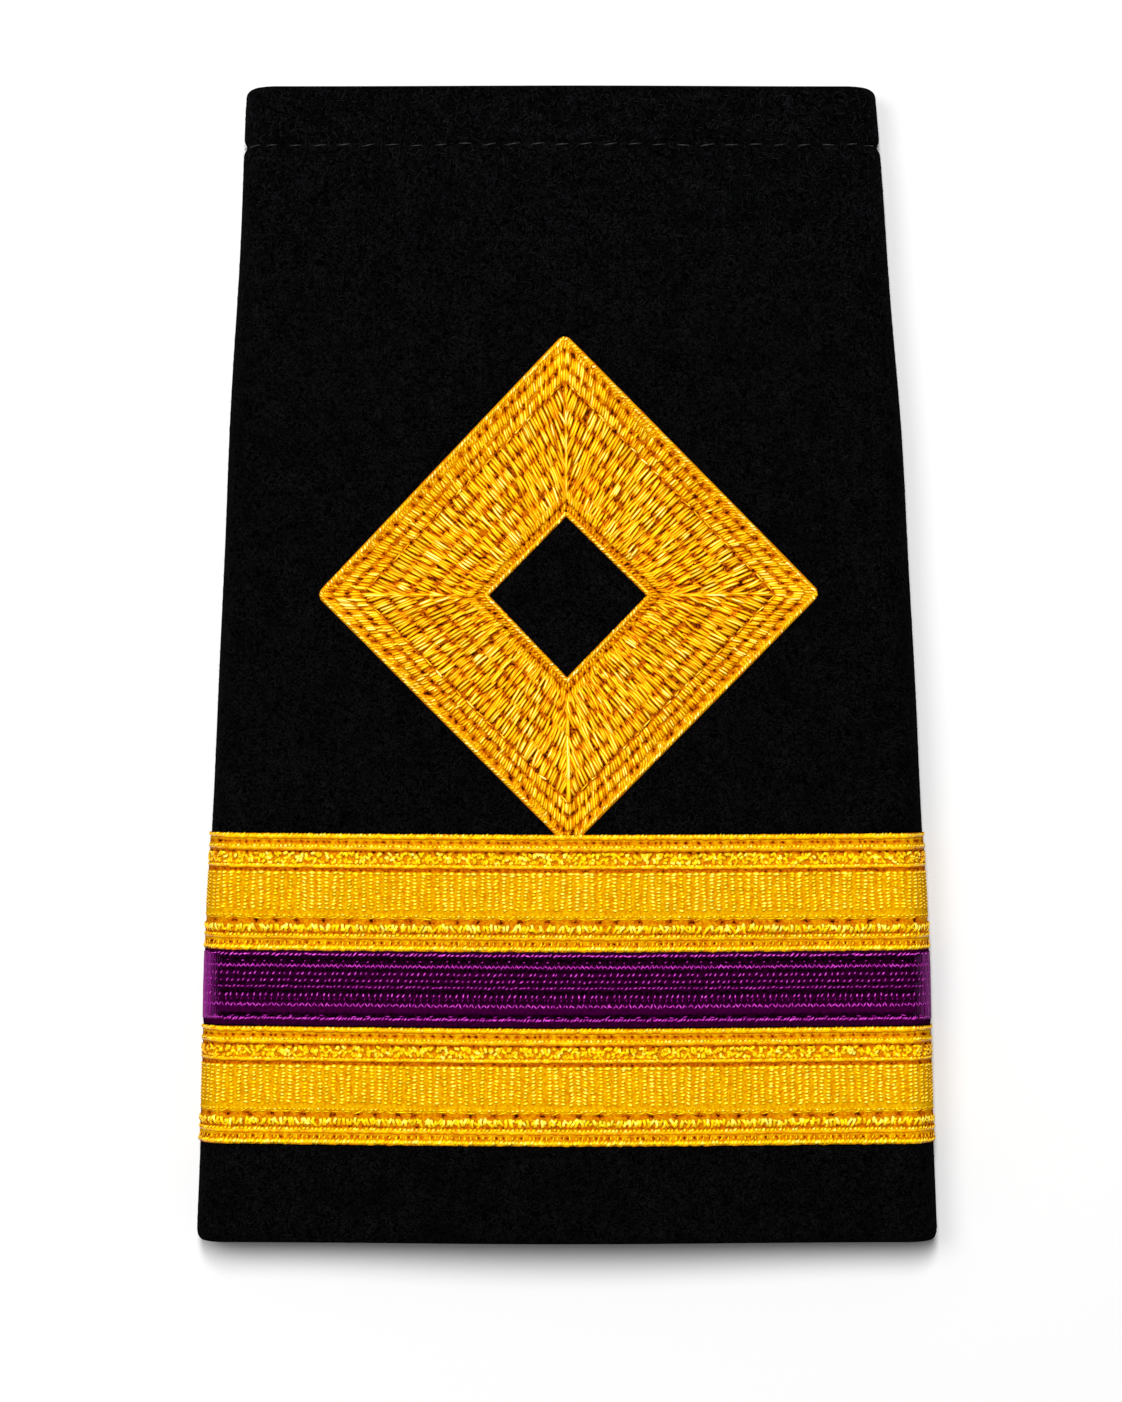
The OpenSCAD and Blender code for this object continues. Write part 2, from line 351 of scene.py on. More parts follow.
def lay_threads(v, across, height, radius, sides, seed, dim=1.0, fall=0.75):
    """Closed tubes along rows of points on the tube's face, one tube for each row.

    The first four are arrays with a row for each thread: v and across as in tube_face, the
    height of the thread's middle over the felt and its radius, in millimetres. Each point's
    shade is painted shade and painted highlight for the thread's colour: it goes from 0, where
    a thread dips under its neighbours and on its flanks, to 1, a painted highlight along its
    crest. A dim under 1 is painted shade for threads that lie deep between others, and fall is
    how dark the low parts are painted.
    """
    v, across, height, radius = np.broadcast_arrays(v, across, height, radius)
    lift = (height - height.min()) / (np.ptp(height) + 1e-6)
    face, outwards = tube_face(v, across)
    thin = drawn_thin(outwards)
    height, radius = height * thin, radius * thin
    middle = face + outwards * height[..., None]
    way = np.gradient(middle, axis=1)
    way /= np.linalg.norm(way, axis=2, keepdims=True) + 1e-12
    aside = np.cross(way, outwards)
    aside /= np.linalg.norm(aside, axis=2, keepdims=True) + 1e-12
    up = np.cross(aside, way)
    # A thread of four sides has a broad top, and any other one a crest
    turn = math.pi / (4 if sides == 4 else 2) + 2 * math.pi * np.arange(sides) / sides
    ring = aside[:, :, None] * np.cos(turn)[:, None] + up[:, :, None] * np.sin(turn)[:, None]
    points = middle[:, :, None] + ring * radius[:, :, None, None]
    # What lies on the table is pressed flat
    points[..., 2] = np.maximum(points[..., 2], 0)
    # Painted shade: a thread's flanks are painted darker than its crest
    flank = np.clip(1 - 0.8 * (1 - np.sin(turn) / np.sin(turn[0])), 0, 1)
    shade = (np.asarray(dim) * (1 - fall + fall * lift))[:, :, None] * flank
    threads, knots = v.shape
    index = np.arange(threads * knots * sides).reshape(threads, knots, sides)
    here, there = index[:, :-1], index[:, 1:]
    walls = np.stack(
        [here, there, np.roll(there, -1, axis=2), np.roll(here, -1, axis=2)], axis=-1
    ).reshape(-1, 4)
    tone = np.random.default_rng(seed).random(threads)
    return {
        "points": points.reshape(-1, 3),
        "walls": walls,
        "ends": np.concatenate([index[:, 0], index[:, -1, ::-1]]),
        "shade": shade.ravel(),
        "tone": np.repeat(tone, knots * sides),
    }


def add_threads(name, sets, material, slot):
    """One piece from several sets of threads."""
    faces, start = [], 0
    for threads in sets:
        faces += (threads["walls"] + start).tolist() + (threads["ends"] + start).tolist()
        start += len(threads["points"])
    return add_piece(
        name,
        np.concatenate([t["points"] for t in sets]),
        faces,
        material,
        slot,
        np.concatenate([t["shade"] for t in sets]),
        np.concatenate([t["tone"] for t in sets]),
    )


def loose_wool():
    """Loose wool fibres: charcoal, a little lighter than the felt under them."""
    material = new_material("loose_wool")
    tone = add_node(material, "Attribute", attribute_name="tone").outputs["Fac"]
    colour = add_node(
        material, "ValToRGB", None, {"Fac": tone},
        [(0.0, "#060607"), (0.7, "#131315"), (1.0, "#26262a")],
    )
    shader = add_node(
        material, "BsdfPrincipled", {"Roughness": 1.0, "Specular IOR Level": 0.0},
        {"Base Color": colour.outputs["Color"]},
    )
    add_node(material, "OutputMaterial", None, {"Surface": shader.outputs["BSDF"]})
    return material


fibre_count = 14000
fibre_length = (0.15, 0.6)
# Share of the fibres that lie on the front alone, and of the way round that this is
front_fibres = 0.85
front_reach = 0.53


def build_nap(seed):
    """Short fibres that start in the felt and lie on it, most of them on the front."""
    rng = np.random.default_rng(seed)
    size = (fibre_count, 1)
    v = rng.uniform(0.5, tube_length - 0.5, size)
    side = np.where(rng.random(size) < front_fibres, front_reach, 1.0)
    across = rng.uniform(-1, 1, size) * side * (half_round(v) - 0.6)
    along = np.array([[0, 1.0]])
    heading = rng.normal(0.8, 1.0, size)
    step = along * rng.uniform(*fibre_length, size)
    lift = np.array([[-0.02, 0.6]]) * np.minimum(rng.exponential(0.05, size) + 0.02, 0.25)
    v = np.clip(v + step * np.sin(heading), 0.3, tube_length - 0.3)
    across = across + step * np.cos(heading)
    return lay_threads(v, across, lift, np.array([[0.03, 0.015]]), 3, seed)


add_threads("felt_nap", [build_nap(11)], loose_wool(), "black_felt")

# The hem and seam stitching.
# Spun black polyester: one row of stitches, 2.1 mm apart, holds the turned hem, and whipping
# stitches draw the felt's edges together down the back.

hem_spacing = 2.08
seam_spacing = 2.4


def black_polyester():
    """Spun polyester sewing thread: black, with a dull grey gloss along each stitch."""
    material = new_material("black_polyester")
    tone = add_node(material, "Attribute", attribute_name="tone").outputs["Fac"]
    colour = add_node(
        material, "ValToRGB", None, {"Fac": tone}, [(0.0, "#080809"), (1.0, "#1c1c1f")]
    )
    shader = add_node(
        material, "BsdfPrincipled", {"Roughness": 0.5, "Specular IOR Level": 0.3},
        {"Base Color": colour.outputs["Color"]},
    )
    add_node(material, "OutputMaterial", None, {"Surface": shader.outputs["BSDF"]})
    return material


def build_hem_stitches():
    """Stitches right round the tube, sunk in the felt, each a little askew."""
    rng = np.random.default_rng(21)
    total = 2 * half_round(stitch_line)
    count = int(total / hem_spacing)
    middle = (np.arange(count)[:, None] + 0.5) * total / count - total / 2
    along = np.array([[-1, -0.8, 0, 0.8, 1]]) * rng.uniform(0.56, 0.68, (count, 1))
    askew = 0.08 + rng.normal(0, 0.08, (count, 1))
    v = stitch_line + along * askew + rng.normal(0, 0.05, (count, 1))
    height = np.array([[-0.4, -0.2, -0.15, -0.2, -0.4]]) + rng.normal(0, 0.03, (count, 1))
    return lay_threads(v, middle + along, height, 0.065, 6, 22)


def build_seam_stitches():
    """Slanting stitches over the groove where the felt's edges meet."""
    rng = np.random.default_rng(23)
    v = np.arange(2.2, tube_length - 1.5, seam_spacing)[:, None]
    v = v + rng.normal(0, 0.08, v.shape)
    over = np.array([[-1, -0.8, 0, 0.8, 1]]) * 0.95
    height = np.array([[-0.35, -0.1, -0.13, -0.1, -0.35]])
    return lay_threads(v + over * 0.45, half_round(v) + over, height, 0.095, 6, 24)


add_threads(
    "hem_and_seam_stitches", [build_hem_stitches(), build_seam_stitches()],
    black_polyester(), "black_felt"
)

# The gold laces.
# Each is a woven strip of gold rayon, 10 mm wide: a thin ground, a ribbed band down its middle,
# and laid threads, small stitches and loops worked over the rest. Both are sewn round the tube,
# with their ends at the back seam, and lie a hair off their nominal places.

upper_lace_top = strips_end - 0.08
lower_high = node_box("lower_gold_lace")[1]
lower_lace_top = lower_high[1] - felt_low[1] + 0.02
rib_spacing = 0.635
float_spacing = 0.3


def rayon(name, stops, tint, gloss=0.6):
    """Rayon thread: dyed right through, with a satin gloss that takes the thread's colour.

    Its colour is painted from the shade attribute: painted shade makes a thread redder and
    darker low down, where its neighbours shade it, and on its flanks, and the top stop is a
    painted highlight along its crest.
    """
    material = new_material(name)
    place = add_node(material, "TexCoord").outputs["Object"]
    shade = add_node(material, "Attribute", attribute_name="shade").outputs["Fac"]
    tone = add_node(material, "Attribute", attribute_name="tone").outputs["Fac"]
    # Painted shade and painted highlight: the ramp turns the shade attribute into colour
    colour = add_node(material, "ValToRGB", None, {"Fac": shade}, stops)
    worn = add_node(material, "MapRange", {"To Min": 0.75, "To Max": 1.12}, {"Value": tone})
    varied = add_node(
        material, "HueSaturation", None,
        {"Color": colour.outputs["Color"], "Value": worn.outputs["Result"]},
    )
    # Real filaments are 0.015 mm thick, too fine to show, so they are drawn at 0.09 mm
    filaments = add_node(
        material, "TexNoise", {"Scale": per_mm(0.09), "Detail": 2.0}, {"Vector": place}
    )
    relief = add_node(
        material, "Bump", {"Strength": 0.25, "Distance": 0.02 * MM},
        {"Height": filaments.outputs["Fac"]},
    )
    shader = add_node(
        material, "BsdfPrincipled",
        {"Roughness": 0.38, "Specular IOR Level": gloss, "Specular Tint": dye(tint)},
        {"Base Color": varied.outputs["Color"], "Normal": relief.outputs["Normal"]},
    )
    add_node(material, "OutputMaterial", None, {"Surface": shader.outputs["BSDF"]})
    return material


def close_ground(name, stops):
    """The close ground under the worked threads: matt, with painted shade where it lies deep."""
    material = new_material(name)
    place = add_node(material, "TexCoord").outputs["Object"]
    shade = add_node(material, "Attribute", attribute_name="shade").outputs["Fac"]
    weave = add_node(
        material, "TexNoise", {"Scale": per_mm(0.25), "Detail": 2.0}, {"Vector": place}
    )
    uneven = add_node(
        material, "MapRange",
        {"From Min": 0.3, "From Max": 0.7, "To Min": -0.24, "To Max": 0.24},
        {"Value": weave.outputs["Fac"]},
    )
    share = add_node(
        material, "Math", None, {0: shade, 1: uneven.outputs["Result"]}, operation="ADD"
    )
    # Painted shade: the shade attribute darkens the ground's colour where it lies deep
    colour = add_node(material, "ValToRGB", None, {"Fac": share.outputs["Value"]}, stops)
    shader = add_node(
        material, "BsdfPrincipled", {"Roughness": 0.8, "Specular IOR Level": 0.0},
        {"Base Color": colour.outputs["Color"]},
    )
    add_node(material, "OutputMaterial", None, {"Surface": shader.outputs["BSDF"]})
    return material


def round_reach(v):
    """How far a strip goes round from the front's middle line, almost to the back seam."""
    return half_round(v) - 0.6


def round_places(v, pitch, rng, loose):
    """Places a pitch apart across the strip's whole way round the tube."""
    reach = round_reach(v)
    count = int(2 * reach / pitch)
    places = (np.arange(count) + 0.5) * 2 * reach / count - reach
    return (places + rng.normal(0, loose, count))[:, None]


def build_ground(top_v, profile, hole_rows, seed):
    """A strip's close ground, one layer, with dimples where the needle went through.

    The profile gives distance from the strip's top edge, height and painted shade. A row of
    holes is given by its distance, the holes' usual spacing and their width, and each hole is
    dented and painted dark, as painted shade.
    """
    rng = np.random.default_rng(seed)
    profile = np.array(profile)
    # The mesh's columns are close on the front, and wide apart on the sides and the back
    share = np.concatenate(
        [np.linspace(-1, -0.46, 80)[:-1], np.linspace(-0.46, 0.46, 280),
         np.linspace(0.46, 1, 80)[1:]]
    )
    columns = len(share)
    v = top_v - profile[:, :1]
    across = share[None, :] * round_reach(v)
    height = np.repeat(profile[:, 1:2], columns, axis=1)
    # Single threads of the ground are a little lighter or darker
    shade = profile[:, 2:] + 0.06 * (np.arange(columns) % 2) + rng.normal(0, 0.04, height.shape)
    for distance, spacing, wide in hole_rows:
        gaps = rng.uniform(0.6, 1.4, int(3 * round_reach(top_v) / spacing)) * spacing
        holes = np.cumsum(gaps) - round_reach(top_v)
        # Each hole lies on a column of the mesh, so that it keeps its full depth
        holes = across[0][np.abs(across[0][:, None] - holes).argmin(axis=0)]
        away = np.abs(across[0][:, None] - holes).min(axis=1)
        aside = (profile[:, :1] - distance) / max(0.14, 0.4 * wide)
        dip = np.exp(-((away / (wide * 0.6)) ** 2) - aside**2)
        height -= 0.14 * dip
        # Painted shade: each hole is painted dark as well as dented
        shade = shade * (1 - dip)
    face, outwards = tube_face(v, across)
    points = face + outwards * (height * drawn_thin(outwards))[..., None]
    faces = grid_faces(len(profile), columns, False, False)
    return points.reshape(-1, 3), faces, np.clip(shade, 0, 1).ravel()


def stitch_row(middle_v, pitch, length, angle, radius, top, seed, zigzag=False, dim=1.0):
    """A row of small stitches, each at its own slant round a common one, in degrees."""
    rng = np.random.default_rng(seed)
    places = round_places(middle_v, pitch, rng, 0.12 * pitch)
    size = places.shape
    flip = 1 - 2 * (np.arange(len(places))[:, None] % 2) if zigzag else 1
    heading = np.radians(flip * angle + rng.normal(0, 11, size))
    over = np.array([[-1, 0, 1]]) * length / 2 * rng.uniform(0.75, 1.2, size)
    v = middle_v + over * np.sin(heading) + rng.normal(0, 0.025, size)
    rise = np.array([[0.6, 1, 0.6]]) * (top - radius) + rng.normal(0, 0.02, size)
    thick = np.array([[0.65, 1, 0.65]]) * radius * rng.uniform(0.85, 1.15, size)
    shine = dim * rng.uniform(0.75, 1.05, size)
    across = places + over * np.cos(heading)
    return lay_threads(v, across, rise, thick, 4, seed, shine, 0.4)


def laid_line(middle_v, radius, top, seed, dim):
    """One thread laid all round, a little uneven."""
    rng = np.random.default_rng(seed)
    reach = round_reach(middle_v)
    places = np.arange(-reach, reach, 0.27)[None, :]
    beat = rng.normal(0, 0.015, places.shape)
    v = middle_v + rng.normal(0, 0.015, places.shape)
    thick = radius * (1 + rng.normal(0, 0.1, places.shape))
    shine = dim * rng.uniform(0.55, 1.1, places.shape)
    return lay_threads(v, places, top - radius + beat, thick, 6, seed, shine, 0.3)


def ribbed_band(top_v, width, seed):
    """Upright ribs, each crossed by a chain of small slanting floats."""
    rng = np.random.default_rng(seed)
    ribs = round_places(top_v, rib_spacing, rng, 0.035)
    rows = round(width / float_spacing)
    start = rng.uniform(-0.12, 0.12, ribs.shape)
    lean = rng.normal(8, 9, ribs.shape)
    down = np.arange(rows) * width / rows + start * (np.arange(rows) > 0)
    down = down + rng.normal(0, 0.02, down.shape)
    sway = rng.normal(0, 0.03, down.shape) + 0.05 * np.sin(down * 1.3 + 40 * start)
    places = ribs * (round_reach(top_v - down) / round_reach(top_v)) + sway
    heading = np.radians(lean + rng.normal(0, 8, down.shape)).reshape(-1, 1)
    down, places = down.reshape(-1, 1), places.reshape(-1, 1)
    over = np.array([[-1, 0, 1]]) * 0.2 * rng.uniform(0.8, 1.15, down.shape)
    bold = np.where(down < 0.1, 1.25, 1.0)
    rise = np.array([[0.19, 0.29, 0.19]]) + rng.normal(0, 0.012, down.shape)
    thick = np.array([[0.1, 0.145, 0.1]]) * bold * rng.uniform(0.85, 1.1, down.shape)
    shine = np.repeat(rng.uniform(1.02, 1.25, ribs.shape), rows, axis=1).reshape(-1, 1)
    shine = shine * rng.uniform(0.88, 1.12, down.shape)
    return lay_threads(
        top_v - down + over * np.sin(heading), places + over * bold * np.cos(heading), rise,
        thick, 5, seed, shine, 0.45
    )


def loop_band(middle_v, width, pitch, radius, top, seed):
    """Small curls of thread, thrown to and fro."""
    rng = np.random.default_rng(seed)
    places = round_places(middle_v, pitch, rng, 0.1)
    size = places.shape
    start = rng.uniform(0, 2 * math.pi, size)
    way = rng.choice([-1, 1], size) * rng.uniform(1.6, 3.4, size)
    bend = start + np.linspace(0, 1, 4)[None, :] * way
    wide = (width / 2 - radius) * rng.uniform(0.75, 1.2, size)
    v = middle_v + wide * np.sin(bend)
    across = places + 0.9 * wide * np.cos(bend)
    rise = np.array([[0.4, 0.95, 0.95, 0.4]]) * (top - radius)
    rise = rise + rng.normal(0, 0.035, size)
    shine = rng.uniform(0.6, 1.1, size)
    return lay_threads(v, across, rise, radius, 4, seed, shine)


def slant_loops(middle_v, width, pitch, radius, top, seed):
    """Thick loops of thread across the strip, highest on the collar side."""
    rng = np.random.default_rng(seed)
    places = round_places(middle_v, pitch, rng, 0.07)
    lean = rng.normal(0.05, 0.4, places.shape)
    part = np.array([[-1, -0.4, 0.2, 0.75, 1]])
    over = part * (width / 2 - radius / 2) * rng.uniform(0.75, 1.1, places.shape)
    curl = rng.normal(0, 0.08, places.shape) * (1 - part**2)
    v = middle_v + over + rng.normal(0, 0.05, places.shape)
    rise = np.array([[0.1, 0.55, 0.9, 1, 0.6]]) * (top - radius)
    rise = rise + rng.normal(0, 0.03, places.shape)
    shine = rng.uniform(0.75, 1.15, places.shape)
    return lay_threads(v, places + over * lean + curl, rise, radius, 4, seed, shine, 0.65)


# The ground across a lace: distance from its collar side edge, height and painted shade,
# darker below the cords and in the channels beside them
lace_ground_profile = (
    (0.05, 0.1, 0.3), (0.35, 0.12, 0.42), (0.5, 0.18, 0.8), (0.62, 0.18, 0.76),
    (0.7, 0.18, 0.68), (0.78, 0.18, 0.65), (0.9, 0.18, 0.65), (1.0, 0.2, 0.75), (1.3, 0.26, 0.75),
    (1.5, 0.2, 0.45), (1.62, 0.14, 0.24), (1.76, 0.18, 0.45), (2.0, 0.2, 0.5),
    (2.4, 0.22, 0.5), (2.64, 0.2, 0.5), (2.86, 0.26, 0.7), (3.0, 0.2, 0.42),
    (3.12, 0.14, 0.24), (3.28, 0.14, 0.26), (3.42, 0.22, 0.7), (3.6, 0.24, 0.7),
    (4.7, 0.24, 0.68), (5.7, 0.24, 0.68), (6.6, 0.24, 0.7), (6.8, 0.22, 0.75),
    (7.05, 0.22, 0.8), (7.28, 0.2, 0.66), (7.42, 0.16, 0.55), (7.58, 0.14, 0.5),
    (7.74, 0.16, 0.5), (7.9, 0.2, 0.55), (8.3, 0.2, 0.45), (8.52, 0.16, 0.3),
    (8.64, 0.14, 0.26), (8.8, 0.2, 0.7), (9.0, 0.24, 0.8), (9.2, 0.22, 0.78),
    (9.34, 0.2, 0.76), (9.42, 0.2, 0.7), (9.5, 0.2, 0.7), (9.6, 0.18, 0.6), (9.8, 0.16, 0.45),
    (10.15, 0.1, 0.25)
)
# Its rows of needle holes: distance from that edge, usual spacing and width
lace_holes = ((0.76, 0.76, 0.32), (7.58, 1.9, 0.55), (9.46, 0.7, 0.32), (1.64, 1.1, 0.26))


def build_lace(name, node, top_v, seed):
    """One gold lace, from its collar side edge down.

    A laid line is given by its place, radius and top, a row of stitches by its place, pitch,
    length, slant, radius and top, and a row of loops by its place, width, pitch, radius and top.
    """
    cords = [
        laid_line(top_v - 0.28, 0.25, 0.43, seed, 0.72),
        stitch_row(top_v - 0.18, 0.35, 0.28, 42, 0.15, 0.57, seed + 1),
        laid_line(top_v - 1.28, 0.27, 0.41, seed + 2, 0.66),
        stitch_row(top_v - 1.13, 0.34, 0.3, 24, 0.15, 0.54, seed + 3),
        laid_line(top_v - 2.84, 0.19, 0.4, seed + 4, 0.66),
        stitch_row(top_v - 2.76, 0.36, 0.3, 12, 0.13, 0.5, seed + 5),
        stitch_row(top_v - 7.12, 0.42, 0.3, 4, 0.1, 0.4, seed + 6),
        stitch_row(top_v - 7.32, 0.9, 0.8, 6, 0.07, 0.34, seed + 7, dim=0.8),
        laid_line(top_v - 8.98, 0.24, 0.38, seed + 12, 0.62),
        stitch_row(top_v - 8.82, 0.36, 0.34, 44, 0.14, 0.53, seed + 8),
        stitch_row(top_v - 9.5, 0.5, 0.4, 78, 0.1, 0.36, seed + 9, dim=0.75),
        laid_line(top_v - 9.92, 0.25, 0.41, seed + 10, 0.7),
        stitch_row(top_v - 9.86, 0.33, 0.46, 48, 0.16, 0.58, seed + 11),
    ]
    loops = [
        loop_band(top_v - 1.93, 0.72, 0.24, 0.16, 0.5, seed + 20),
        loop_band(top_v - 2.36, 0.7, 0.26, 0.15, 0.46, seed + 21),
        slant_loops(top_v - 8.24, 0.86, 0.34, 0.16, 0.56, seed + 22),
        loop_band(top_v - 8.16, 0.62, 0.6, 0.14, 0.58, seed + 24),
    ]
    points, faces, shade = build_ground(top_v, lace_ground_profile, lace_holes, seed + 40)
    ground = add_piece(name + "_ground", points, faces, gold_ground, "gold_lace", shade)
    worked = [
        add_threads(name + "_ribs", [ribbed_band(top_v - 3.46, 3.3, seed + 30)], gold_lace,
                    "gold_lace"),
        add_threads(name + "_cords", cords, gold_lace, "gold_lace"),
        add_threads(name + "_loops", loops, gold_lace, "gold_lace"),
    ]
    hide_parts(node)


# The dark red stops are painted shade and the pale top stop a painted highlight
gold_lace = rayon(
    "gold_rayon_lace",
    [(0.03, "#8c3000"), (0.22, "#d47400"), (0.5, "#f2b600"), (0.78, "#fad60c"),
     (0.95, "#fcf064")],
    "#ffd840",
)
gold_ground = close_ground(
    "gold_rayon_ground",
    [(0.0, "#2c0a00"), (0.1, "#602400"), (0.25, "#a04a00"), (0.5, "#b86c00"),
     (0.75, "#c48c00"), (1.0, "#d0a406")],
)
build_lace("upper_lace", "upper_gold_lace", upper_lace_top, 100)
build_lace("lower_lace", "lower_gold_lace", lower_lace_top, 200)

# The purple ribbon.
# A narrow ribbon of purple rayon, sewn round between the laces: a dark close ground with
# eleven rows of tiny stitches, no two rows alike, and close threads round the rolled sides.

ribbon_low, ribbon_high = node_box("purple_ribbon")
ribbon_top = ribbon_high[1] - felt_low[1] + 0.08
ribbon_width = ribbon_high[1] - ribbon_low[1]
binding_reach = 4.4
binding_spacing = 0.2
# The first threads of a binding fade in: they lie lower and are painted darker, so that
# a painted sheen grows further round the rolled side
fading_threads = 8


def side_bindings(top_v, width, seed):
    """Close threads along the slide that smooth the ribbon where it rolls round a side.

    They carry a painted sheen, lighter further round the roll and on the left side than the
    right.
    """
    rng = np.random.default_rng(seed)
    sets = []
    # Painted light: the left binding is painted lighter than the right one
    for side, dim in ((-1, 0.5), (1, 0.34)):
        middle_v = top_v - width / 2
        start = half_width(middle_v) - side_roll + 1.1
        places = side * (start + np.arange(0, binding_reach, binding_spacing))[:, None]
        places = places + rng.normal(0, 0.02, places.shape)
        v = middle_v + np.linspace(-1, 1, 9)[None, :] * (width / 2 - 0.25)
        sway = rng.normal(0, 0.02, (len(places), 9))
        fading = np.clip(np.arange(len(places)) / fading_threads, 0, 1)[:, None]
        height = 0.08 + 0.14 * fading + sway
        sets.append(
            lay_threads(v, places + sway, height, 0.1, 4, seed + side, dim * fading, 0.6)
        )
    return sets


# The ground across the ribbon: distance from its collar side edge, height and painted shade,
# lighter along the rows of stitches and dark in the grooves between them
ribbon_ground_profile = (
    (-0.12, 0.1, 0.4), (0.06, 0.14, 0.45), (0.24, 0.18, 0.6), (0.42, 0.16, 0.2), (0.62, 0.16, 0),
    (0.85, 0.16, 0.15), (1.0, 0.16, 0.2), (1.2, 0.2, 0.8), (1.4, 0.16, 0.3), (1.6, 0.16, 0.1),
    (1.92, 0.2, 0.6), (2.2, 0.18, 0.15), (2.46, 0.2, 0.6), (2.75, 0.18, 0.1), (3.05, 0.2, 0.7),
    (3.3, 0.16, 0.1), (3.55, 0.16, 0.1), (3.82, 0.2, 0.5), (4.25, 0.16, 0.2), (4.6, 0.2, 0.8),
    (4.85, 0.2, 0.75), (5.15, 0.18, 0.7), (5.35, 0.16, 0.1), (5.6, 0.14, 0.1), (5.82, 0.2, 0.8),
    (6.0, 0.16, 0.5), (ribbon_width + 0.16, 0.1, 0.4)
)
# Rows of stitches, from the collar side down: distance from the edge, pitch, length, slant,
# thickness, whether they zigzag, and how light they are
stitch_rows = (
    (0.24, 0.4, 0.38, 24, 0.15, False, 1.0),
    (0.81, 1.1, 0.2, 20, 0.13, False, 0.7),
    (1.23, 0.2, 0.4, 48, 0.13, True, 0.8),
    (1.9, 0.5, 0.32, 52, 0.14, False, 0.9),
    (2.48, 0.5, 0.3, 48, 0.14, False, 0.85),
    (3.02, 0.38, 0.32, 28, 0.13, False, 0.8),
    (3.76, 0.5, 0.32, 66, 0.15, False, 0.95),
    (4.1, 0.5, 0.34, 84, 0.1, False, 0.5),
    (4.6, 0.27, 0.4, 52, 0.14, True, 0.85),
    (5.55, 1.35, 0.4, 12, 0.12, False, 0.7),
    (5.77, 0.27, 0.36, 34, 0.17, False, 0.85),
)
# The darkest stop is painted shade and the pink top stop a painted highlight
purple_thread = rayon(
    "purple_rayon_ribbon", [(0.05, "#1c0018"), (0.45, "#84087a"), (0.9, "#ee54e2")], "#c838c0",
    0.25
)
purple_ground = close_ground("purple_rayon_ground", [(0.0, "#060004"), (1.0, "#36002e")])
points, faces, shade = build_ground(ribbon_top, ribbon_ground_profile, (), 340)
ribbon_ground = add_piece("ribbon_ground", points, faces, purple_ground, "purple_ribbon", shade)
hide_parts("purple_ribbon")
add_threads(
    "ribbon_rows",
    [
        stitch_row(ribbon_top - down, pitch, length, slant, thick / 2, 0.34, 300 + n, zigzag, dim)
        for n, (down, pitch, length, slant, thick, zigzag, dim) in enumerate(stitch_rows)
    ]
    + side_bindings(ribbon_top, ribbon_width, 330),
    purple_thread,
    "purple_ribbon",
)

# The diamond.
# Machine embroidery in gold rayon: long and short satin stitches over padding, fanned round
# the corners, with a whipped cord along the outer and the inner edge. Its bottom corner ends
# under the edge of the upper lace.

diamond_low, diamond_high = node_box("diamond_outer_cord")
diamond_x = (diamond_low[0] + diamond_high[0]) / 2
diamond_half_width = (diamond_high[0] - diamond_low[0]) / 2
solid_lower_half = 21.2
diamond_v = diamond_low[1] + solid_lower_half - felt_low[1]
diamond_up = diamond_high[1] - felt_low[1] - diamond_v
# The embroidery is a little longer at the bottom, where its last stitches go into the lace
diamond_down = 22.05
lace_tuck = 0.55
window_half_width = 6.6
window_half_height = 6.7
window_drop = 0.2
# The right and the bottom corner stand out a little, as hand guided machine work does
outer_corners = np.array(
    [[0, diamond_up], [-diamond_half_width, -0.12], [0.2, -diamond_down],
     [diamond_half_width + 0.33, 0]]
)
window_corners = np.array(
    [[0, window_half_height - window_drop], [-window_half_width, -window_drop],
     [0, -window_half_height - window_drop - 0.3], [window_half_width + 0.2, -window_drop]]
)


def reach(half_w, half_h):
    """Distance from a diamond's middle to its sides."""
    return half_w * half_h / math.hypot(half_w, half_h)


band_width = reach(diamond_half_width, (diamond_up + diamond_down) / 2) - reach(
    window_half_width, window_half_height
)


def diamond_spot(turn, inset):
    """v and across of a place at a turn round the diamond and an inset from its edge.

    Whole turns are its corners: top, left, bottom and right.
    """
    turn, inset = np.broadcast_arrays(np.asarray(turn, float), np.asarray(inset, float))
    side = np.floor(turn).astype(int)
    part = (turn - side)[..., None]
    share = (inset / band_width)[..., None]
    corners = [
        outer_corners[n % 4] + (window_corners[n % 4] - outer_corners[n % 4]) * share
        for n in (side, side + 1)
    ]
    spot = corners[0] + (corners[1] - corners[0]) * part
    # The outer corners are rounded, by the turn that the cord takes there
    near = np.minimum(part, 1 - part) * np.linalg.norm(corners[1] - corners[0], axis=-1)[..., None]
    pull = 0.2 * np.clip(1 - near / 0.5, 0, 1) ** 2 * np.clip(1 - share * 3, 0, 1)
    spot = spot * (1 - pull / np.linalg.norm(spot, axis=-1, keepdims=True))
    return diamond_v + spot[..., 1], diamond_x + spot[..., 0]


def into_lace(v):
    """How far the bottom corner's last stitches are drawn down, under the lace's edge."""
    return -lace_tuck * np.clip((strips_end + 0.1 - v) / 0.5, 0, 1)


def side_length(inset):
    """Length of one side of the diamond at an inset from its outer edge."""
    outer = np.linalg.norm(outer_corners[0] - outer_corners[1])
    inner = np.linalg.norm(window_corners[0] - window_corners[1])
    return outer + (inner - outer) * inset / band_width


def side_turns(inset, pitch, rng, loose):
    """Turns of the places round the diamond, a pitch apart along its sides."""
    count = int(side_length(inset) / pitch)
    places = (np.arange(4 * count) + 0.5) / count
    return (places + rng.normal(0, loose / side_length(inset), 4 * count))[:, None]


